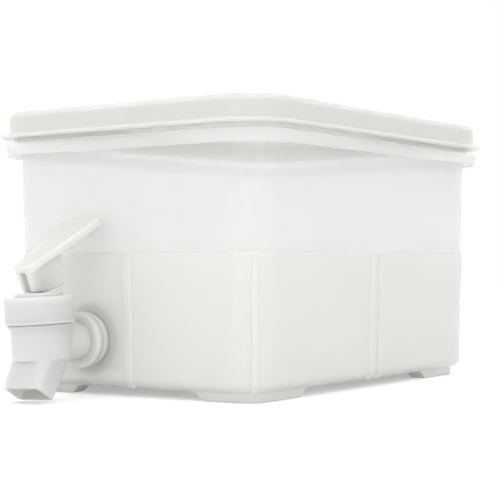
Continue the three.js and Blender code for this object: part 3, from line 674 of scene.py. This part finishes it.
def lidProfile(s):
    inner = beadOuter + s["clearance"]
    outer = inner + s["wall"]
    under = s["top"] - s["plate"]
    plugOuter = neckInner - s["clearance"]
    plugInner = plugOuter - s["plugWall"]
    plugEdge, plugLow = s["plugEdge"], under - s["plugDepth"]
    tip = s["lipThick"] / 2
    lipTop = s["lipLow"] + s["lipThick"]
    blend, rise = s["blend"], s["blend"] * s["blendShare"]
    panel = outer - s["panelInset"]
    return [
        (panel - s["panelSlope"] - blend, s["top"] - s["panelDepth"]),
        (panel - s["panelSlope"], s["top"] - s["panelDepth"] + rise),
        (panel, s["top"] - rise), (panel + blend, s["top"]),
        *arcPoints(outer - s["edgeRound"], s["top"] - s["edgeRound"], s["edgeRound"], 90, 0, s["edgeSteps"]),
        *arcPoints(outer + blend, lipTop + blend, blend, 180, 270, s["blendSteps"]),
        *arcPoints(outer + s["lipReach"] - tip, s["lipLow"] + tip, tip, 90, -90, s["tipSteps"]),
        (inner, s["lipLow"]), (inner, under), (plugOuter, under),
        *arcPoints(plugOuter - plugEdge, plugLow + plugEdge, plugEdge, 0, -90, s["plugSteps"]),
        *arcPoints(plugInner + plugEdge, plugLow + plugEdge, plugEdge, -90, -180, s["plugSteps"]),
        (plugInner, under),
    ]


def makeLid(s):
    piece = asObject("lid_moulding", aroundOutline(s, lidProfile(s)))
    finishPiece(piece, tankPlace, "cover", made["milky lid plastic"], "lid", s["sharp"])


makeLid(lidSetting)

# Tap body: barrel, spout and the shank through the wall, in the tap's frame
bodySetting = {
    "radius": 14, "bottom": -7.1, "edge": 0.5, "edgeSteps": 4, "shoulder": 15.8, "shoulderLow": 6.3,
    "shoulderHigh": 9.1, "collar": 12.6, "collarLow": 9.5, "collarTop": 19.4, "chamber": 11,
    "chamberFloor": -5.5, "seatHole": 4.5, "roof": -8.0, "steps": 96, "boreSteps": 48, "meltRounds": 6,
    "sharp": 28,
}
shankSetting = {
    "neck": 9.2, "flangeFront": 25.7, "flangeBack": 29.9, "flange": 13.75, "flangeEdge": 1.2, "edgeSteps": 6,
    "core": 7.3, "crest": 8, "threadStart": 37, "pitch": 2.6, "turns": 5, "end": 51.4, "bore": 5, "steps": 72,
}
# The spout's top and mouth are each half a width, half a depth and a corner.
spoutSetting = {
    "top": (12.5, 10.75, 6.5), "mouth": (11.7, 6.5, 2.6), "leastCorner": 0.9, "mouthOut": -10.7,
    "mouthDrop": -22.6, "tilt": 33, "wall": 1.8, "steps": 10, "topAt": -6.1,
}


def spoutShape(inset, topAt, stretch):
    s = spoutSetting
    bm = bmesh.new()
    halfX, halfY, corner = s["top"]
    top = roundedFace(bm, halfX - inset, halfY - inset, corner - inset, s["steps"],
                      Matrix.Translation((0, 0, topAt)))
    tilt = Matrix.Rotation(-math.radians(s["tilt"]), 4, "X")
    centre = Vector((0, s["mouthOut"], s["mouthDrop"])) + tilt @ Vector((0, 0, -stretch))
    halfX, halfY, corner = s["mouth"]
    mouth = roundedFace(bm, halfX - inset, halfY - inset, max(corner - inset, s["leastCorner"]), s["steps"],
                        Matrix.Translation(centre) @ tilt)
    bmesh.ops.bridge_loops(bm, edges=list(top.edges) + list(mouth.edges))
    return bm


def barrelProfile(s):
    edge = s["edge"]
    return [
        (0, s["bottom"]), *arcPoints(s["radius"] - edge, s["bottom"] + edge, edge, -90, 0, s["edgeSteps"]),
        (s["radius"], s["shoulderLow"]), (s["shoulder"], s["shoulderHigh"]), (s["shoulder"], s["collarLow"]),
        (s["collar"], s["collarLow"]), (s["collar"], s["collarTop"]), (0, s["collarTop"]),
    ]


def shankProfile(s):
    ridges = []
    for turn in range(s["turns"]):
        base = s["threadStart"] + turn * s["pitch"]
        ridges += [(s["core"], base + s["pitch"] / 4), (s["crest"], base + s["pitch"] / 2),
                   (s["crest"], base + s["pitch"] * 3 / 4), (s["core"], base + s["pitch"])]
    front, edge = s["flangeFront"], s["flangeEdge"]
    return [
        (0, front), *arcPoints(s["flange"] - edge, front + edge, edge, -90, 0, s["edgeSteps"]),
        (s["flange"], s["flangeBack"]), (s["core"], s["flangeBack"]), *ridges,
        (s["core"], s["end"]), (0, s["end"]),
    ]


def makeTapBody(s, shank, spout):
    piece = asObject("tap_body_moulding", turned(barrelProfile(s), s["steps"]))
    neck = rod(shank["neck"], 0, shank["flangeFront"] + overrun, s["steps"], alongShank)
    combine(piece, neck, "UNION")
    combine(piece, spoutShape(0, spout["topAt"], 0), "UNION")
    melt(piece, s["meltRounds"])
    combine(piece, turned(shankProfile(shank), shank["steps"], alongShank), "UNION")
    for radius, low, high, turn in (
        (s["chamber"], s["chamberFloor"], s["collarTop"] + overrun, Matrix()),
        (s["seatHole"], s["roof"] - overrun, s["chamberFloor"] + overrun, Matrix()),
        (shank["bore"], 0, shank["end"] + overrun, alongShank),
    ):
        combine(piece, rod(radius, low, high, s["boreSteps"], turn), "DIFFERENCE")
    combine(piece, spoutShape(spout["wall"], s["roof"], overrun), "DIFFERENCE")
    finishPiece(piece, tapPlace, "container", made["white tap plastic"], "tap_body",
                s["sharp"])


makeTapBody(bodySetting, shankSetting, spoutSetting)

# Gasket between the flange and the wall, with a thin bead round its lip
gasketSetting = {
    "bore": tapHole["radius"], "front": 30.2, "lip": shankSetting["flange"], "lipBack": 32, "outer": 12.6,
    "back": 34.7, "round": 0.7, "roundSteps": 5, "backSteps": 3, "steps": 80, "sharp": 40,
}


def makeOuterGasket(s):
    r = s["round"]
    profile = [
        (s["bore"], s["front"]), *arcPoints(s["lip"] - r, s["front"] + r, r, -90, 0, s["roundSteps"]),
        *arcPoints(s["lip"] - r, s["lipBack"] - r, r, 0, 90, s["roundSteps"]), (s["outer"], s["lipBack"]),
        *arcPoints(s["outer"] - r / 2, s["back"] - r / 2, r / 2, 0, 90, s["backSteps"]),
        (s["bore"], s["back"]), (s["bore"], s["front"]),
    ]
    piece = asObject("wall_gasket", turned(profile, s["steps"], alongShank))
    finishPiece(piece, tapPlace, "container", made["white silicone"], "outer_gasket",
                s["sharp"])


makeOuterGasket(gasketSetting)

# Bonnet cap: fine upright knurls above a plain rim, and a boss that the lever's toe pushes on
capSetting = {
    "radius": 16.4, "rimRadius": 16.65, "rimEdge": 0.4, "rimEdgeTurn": 70, "bottom": 9.8, "rim": 1.6,
    "top": 22.8, "edge": 0.9, "edgeSteps": 3, "topSteps": 5, "boss": 11.5, "bossTop": 24.6, "bossRoot": 0.4,
    "bossEdge": 0.6, "bore": 3.3, "guide": 5.2, "guideLow": 12.3, "under": 20.8, "inner": 13.5, "knurls": 72,
    "knurlSteps": 4, "knurlDepth": 0.2, "knurlInset": 0.05, "knurlStart": 0.5, "knurlEnd": 0.6,
    "knurlSlack": 0.3, "grooveSlack": 0.1, "sharp": 40,
}


def capProfile(s, groove, knurlLow, knurlHigh):
    rimEdge, rimMiddle, steps = s["rimEdge"], s["rimRadius"] - s["rimEdge"], s["edgeSteps"]
    crest = s["radius"] - s["knurlInset"]
    root, bossEdge, edge = s["bossRoot"], s["bossEdge"], s["edge"]
    return [
        (s["inner"], s["bottom"]), *arcPoints(rimMiddle, s["bottom"] + rimEdge, rimEdge, -90, 0, steps),
        *arcPoints(rimMiddle, knurlLow - rimEdge, rimEdge, 0, s["rimEdgeTurn"], steps),
        (groove - s["grooveSlack"], knurlLow), (crest, knurlLow + s["knurlStart"]),
        (crest, knurlHigh - s["knurlEnd"]), (groove, knurlHigh),
        *arcPoints(groove - edge, s["top"] - edge, edge, 0, 90, s["topSteps"]),
        *arcPoints(s["boss"] + root, s["top"] + root, root, -90, -180, steps),
        *arcPoints(s["boss"] - bossEdge, s["bossTop"] - bossEdge, bossEdge, 0, 90, s["topSteps"]),
        (s["bore"], s["bossTop"]), (s["bore"], s["guideLow"]), (s["guide"], s["guideLow"]),
        (s["guide"], s["under"]), (s["inner"], s["under"]), (s["inner"], s["bottom"]),
    ]


def makeBonnetCap(s):
    groove = s["radius"] - s["knurlDepth"]
    knurlLow, knurlHigh = s["bottom"] + s["rim"], s["top"] - s["edge"]
    steps = s["knurls"] * s["knurlSteps"]
    bm = turned(capProfile(s, groove, knurlLow, knurlHigh), steps)
    for vert in bm.verts:
        radius = vert.co.xy.length
        step = round(math.atan2(vert.co.y, vert.co.x) / (2 * math.pi) * steps)
        between = step % s["knurlSteps"] < s["knurlSteps"] / 2
        onKnurl = knurlLow + s["knurlSlack"] < vert.co.z < knurlHigh - s["knurlSlack"]
        if radius > groove + s["grooveSlack"] and onKnurl and between:
            vert.co.xy = vert.co.xy * (groove / radius)
    piece = asObject("cap_moulding", bm)
    finishPiece(piece, tapPlace, "container", made["white tap plastic"], "bonnet_cap",
                s["sharp"])


makeBonnetCap(capSetting)

# Lever: a dished paddle on a forked hub, in the lever's frame
paddleSetting = {
    "slope": 29.6, "height": 42.6, "thick": 4, "front": 9.8, "back": 30.2, "lowWidth": 14, "highWidth": 28,
    "lowCorner": 3.2, "highCorner": 3.6, "cornerSteps": 7, "bow": 1.2, "bowCorner": 7.2, "bowSteps": 5,
    "border": 2.3, "recess": 0.9, "recessSlope": 0.5, "slack": 0.01,
}
hubSetting = {
    "width": 8.6, "flare": 0.3, "toe": 5.8, "rake": 3.3, "bottom": 24.9, "flat": 3, "heel": 14.9,
    "heelRise": 3.1, "heelShare": 0.25, "waist": 11.4, "waistRise": 9.5, "slotWidth": 4.4, "slotTop": 34.2,
    "slotFront": -20, "slotBack": 3.3, "slotEdge": 0.5, "slotAngle": 50, "slotSteps": 3, "socket": 1.3,
    "socketReach": 3.5, "socketSteps": 24, "meltRounds": 24, "sharp": 30,
}


def paddleShape(s):
    bm = bmesh.new()
    slope = math.radians(s["slope"])
    front = -s["front"] / math.cos(slope)
    back = s["back"] / math.cos(slope)
    low, high, slack = s["lowWidth"] / 2, s["highWidth"] / 2, s["slack"]
    face = flatFace(bm, [(-low, front), (low, front), (high, back), (0, back + s["bow"]), (-high, back)])
    lowEnds = [vert for vert in face.verts if vert.co.y < 0]
    roundVerts(bm, lowEnds, s["lowCorner"], s["cornerSteps"])
    highEnds = [vert for vert in bm.verts if abs(vert.co.x) > high - slack]
    roundVerts(bm, highEnds, s["highCorner"], s["cornerSteps"])
    bowEnd = [vert for vert in bm.verts if vert.co.y > back + s["bow"] - slack]
    roundVerts(bm, bowEnd, s["bowCorner"], s["bowSteps"])
    thicken(bm, bm.faces[:][0], (0, 0, -s["thick"]))
    top = max(bm.faces, key=lambda item: item.calc_center_median().z)
    for border in (s["border"], s["recessSlope"]):
        bmesh.ops.inset_region(bm, faces=[top], thickness=border, depth=0, use_even_offset=True)
    bmesh.ops.translate(bm, vec=(0, 0, -s["recess"]), verts=top.verts)
    bmesh.ops.transform(bm, matrix=Matrix.Translation((0, 0, s["height"])) @ Matrix.Rotation(slope, 4, "X"),
                        verts=bm.verts)
    return bm


# A side outline, made as a slab that is turned to stand along the lever
def sideways(points, width):
    bm = bmesh.new()
    face = flatFace(bm, points, -width / 2)
    thicken(bm, face, (0, 0, width))
    upright = Matrix(((0, 0, 1, 0), (1, 0, 0, 0), (0, 1, 0, 0), (0, 0, 0, 1)))
    bmesh.ops.transform(bm, matrix=upright, verts=bm.verts)
    return bm


def hubShape(s, p):
    slope = math.radians(p["slope"])

    def under(y):
        return p["height"] + y * math.tan(slope) - p["thick"] / 2 / math.cos(slope)

    front = -s["toe"] - s["rake"]
    middleY = s["waist"] + (s["heel"] - s["waist"]) * s["heelShare"]
    middleZ = s["bottom"] + (s["heelRise"] + s["waistRise"]) / 2
    hub = sideways([
        (-s["toe"], s["bottom"]), (s["flat"], s["bottom"]), (s["heel"], s["bottom"] + s["heelRise"]),
        (middleY, middleZ), (s["waist"], s["bottom"] + s["waistRise"] + s["heelRise"]),
        (s["waist"], under(s["waist"])), (front, under(front)),
    ], s["width"])
    full = under(front) - s["bottom"]
    for vert in hub.verts:
        vert.co.x *= 1 + s["flare"] * min(1, (vert.co.z - s["bottom"]) / full)
    return hub


def makeLever(s, p):
    piece = asObject("lever_moulding", paddleShape(p))
    combine(piece, hubShape(s, p), "UNION")
    melt(piece, s["meltRounds"])
    low = s["bottom"] - 2 * overrun
    slot = sideways([(s["slotFront"], low), (s["slotBack"], low), (s["slotBack"], s["slotTop"]),
                     (s["slotFront"], s["slotTop"])], s["slotWidth"])
    combine(piece, slot, "DIFFERENCE")
    softenEdges(piece, s["slotEdge"], s["slotAngle"], s["slotSteps"])
    across = Matrix.Translation((0, 0, tapSetting["pinHeight"])) @ Matrix.Rotation(math.pi / 2, 4, "Y")
    socket = rod(s["socket"], -s["socketReach"], s["socketReach"], s["socketSteps"], across)
    combine(piece, socket, "DIFFERENCE")
    finishPiece(piece, leverPlace, "handle", made["white lever plastic"], "lever", s["sharp"])


makeLever(hubSetting, paddleSetting)

# The coil that closes the valve.
springSetting = {
    "radius": 6.7, "wire": 0.55, "low": 4.85, "high": 18.85, "turns": 5.5, "turnSteps": 40, "sides": 12,
    "lift": 3.4, "sharp": 60,
}


def makeSpring(s):
    bm = bmesh.new()
    section = Matrix.Translation((s["radius"], 0, s["low"])) @ Matrix.Rotation(math.pi / 2, 4, "X")
    bmesh.ops.create_circle(bm, segments=s["sides"], radius=s["wire"], matrix=section)
    steps = round(s["turns"] * s["turnSteps"])
    rise = s["high"] - s["low"]
    bmesh.ops.spin(
        bm, geom=bm.verts[:] + bm.edges[:], cent=(0, 0, 0), axis=(0, 0, 1), dvec=(0, 0, rise / steps),
        angle=2 * math.pi * s["turns"], steps=steps, use_merge=False, use_duplicate=False)
    bmesh.ops.holes_fill(bm, edges=openEdges(bm))
    piece = asObject("closing_spring", bm)
    finishPiece(piece, tapPlace, "container", made["spring steel"], "return_spring",
                s["sharp"])
    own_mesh(piece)


makeSpring(springSetting)

# CAD nodes that stay, each with its finish
kept = {
    "lid_seal": "soft seal", "inner_gasket": "white silicone", "shank_nut": "white tap plastic",
    "bonnet_seal": "white silicone", "spring_washer": "washer plastic", "valve_stem": "white tap plastic",
    "stem_ring": "black ring rubber", "valve_plug": "white silicone", "lever_pin": "spring steel",
}
for name, finish in kept.items():
    for materialSlot in nodes[name].material_slots:
        materialSlot.material = made[finish]
print("kept nodes finished")

# Studio: a pale floor that keeps the shadow, a white surround and three soft lamps
floorSetting = {
    "size": 6.0, "drop": 0.0002, "colour": (0.94, 0.94, 0.935, 1), "drift": 0.01, "driftScale": 3,
    "grainScale": 200, "roughness": 0.9, "specular": 0.1, "lift": 0.3,
}
surroundSetting = {"light": 0.98, "seen": 1}
lampAim = (0, 0, 0.07)
lampSetting = [
    {"name": "overhead", "place": (-0.3, -0.1, 1.15), "size": 1.0, "power": 1.8},
    {"name": "front", "place": (0.6, -1.3, 0.3), "size": 1.4, "power": 3.6},
    {"name": "right front", "place": (1.3, -0.5, 0.3), "size": 1.0, "power": 0.55},
]


# 1 where the camera sees a surface straight, in a reflection or through the plastic
def seenRays(tree):
    path = addNode(tree, "ShaderNodeLightPath")
    seen = mathNode(tree, "MAXIMUM", path.outputs["Is Camera Ray"], path.outputs["Is Glossy Ray"])
    return mathNode(tree, "MAXIMUM", seen, path.outputs["Is Transmission Ray"])


def floorFinish(s):
    material, tree, sockets = startMaterial("pale floor")
    tone = placeGroup(tree, mouldedTone, Colour=s["colour"], Drift=s["drift"], Drift_Scale=s["driftScale"],
                      Grain_Scale=s["grainScale"])
    tree.links.new(tone["Colour"], sockets["Base Color"])
    sockets["Roughness"].default_value = s["roughness"]
    sockets["Specular IOR Level"].default_value = s["specular"]
    glow = addNode(tree, "ShaderNodeEmission")
    tree.links.new(mathNode(tree, "MULTIPLY", seenRays(tree), s["lift"]), glow.inputs["Strength"])
    both = addNode(tree, "ShaderNodeAddShader")
    tree.links.new(tree.nodes["Principled BSDF"].outputs[0], both.inputs[0])
    tree.links.new(glow.outputs[0], both.inputs[1])
    tree.links.new(both.outputs[0], tree.nodes["Material Output"].inputs["Surface"])
    return material


def makeFloor(s):
    bm = bmesh.new()
    flatFace(bm, rectangle(s["size"] / 2, s["size"] / 2))
    mesh = bpy.data.meshes.new("floor")
    bm.to_mesh(mesh)
    bm.free()
    mesh.materials.append(floorFinish(s))
    floor = bpy.data.objects.new("floor", mesh)
    floor.location.z = -s["drop"]
    scene.collection.objects.link(floor)


def makeSurround(s):
    world = bpy.data.worlds.new("surround")
    world.use_nodes = True
    scene.world = world
    tree = world.node_tree
    light = tree.nodes["Background"]
    light.inputs["Color"].default_value = (1, 1, 1, 1)
    strength = mathNode(tree, "MULTIPLY_ADD", seenRays(tree), s["seen"] - s["light"], s["light"])
    tree.links.new(strength, light.inputs["Strength"])


def addLamp(s):
    data = bpy.data.lights.new(s["name"], "AREA")
    data.size = s["size"]
    data.energy = s["power"]
    lamp = bpy.data.objects.new(s["name"], data)
    lamp.location = s["place"]
    lamp.rotation_euler = (Vector(lampAim) - Vector(s["place"])).to_track_quat("-Z", "Y").to_euler()
    scene.collection.objects.link(lamp)


makeFloor(floorSetting)
makeSurround(surroundSetting)
for setting in lampSetting:
    addLamp(setting)
scene.view_settings.view_transform = "Standard"
print("studio set")
